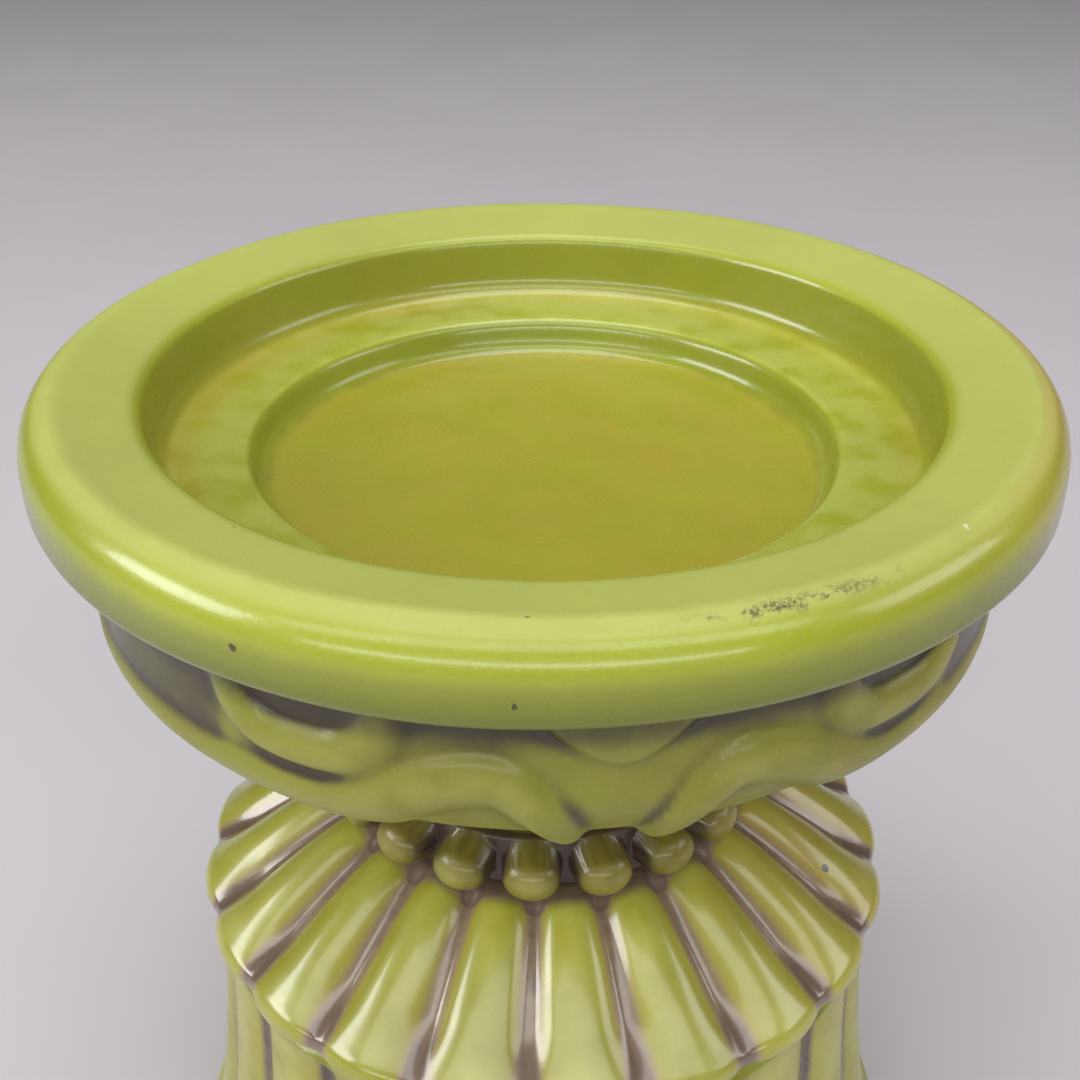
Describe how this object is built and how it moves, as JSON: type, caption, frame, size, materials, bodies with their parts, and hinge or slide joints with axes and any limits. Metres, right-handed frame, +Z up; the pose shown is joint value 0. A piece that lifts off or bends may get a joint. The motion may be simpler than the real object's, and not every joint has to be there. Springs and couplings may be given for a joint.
{
  "type": "pillar candlestick",
  "caption": "Short pedestal candlestick of glazed ceramic: a broad rimmed pan with stepped seats on a relief bowl, a bead collar, a fluted shoulder and a flared ribbed base.",
  "frame": {"origin": "centre of the felt ring's underside, on the surface that the candlestick stands on", "axes": "+Z up along the axis of the turned shape, -Y towards the side that faced the camera"},
  "size_m": [0.134, 0.1338, 0.1519],
  "materials": {
    "glaze": "satin olive green glaze over cast earthenware, with thin brown glaze lying in the grooves",
    "felt": "dark green pressed felt"
  },
  "bodies": {
    "root": {"candle_pan": "glaze", "relief_bowl": "glaze", "bead_collar": "glaze", "fluted_shoulder": "glaze", "flared_base": "glaze", "felt_ring": "felt"}
  },
  "joints": []
}
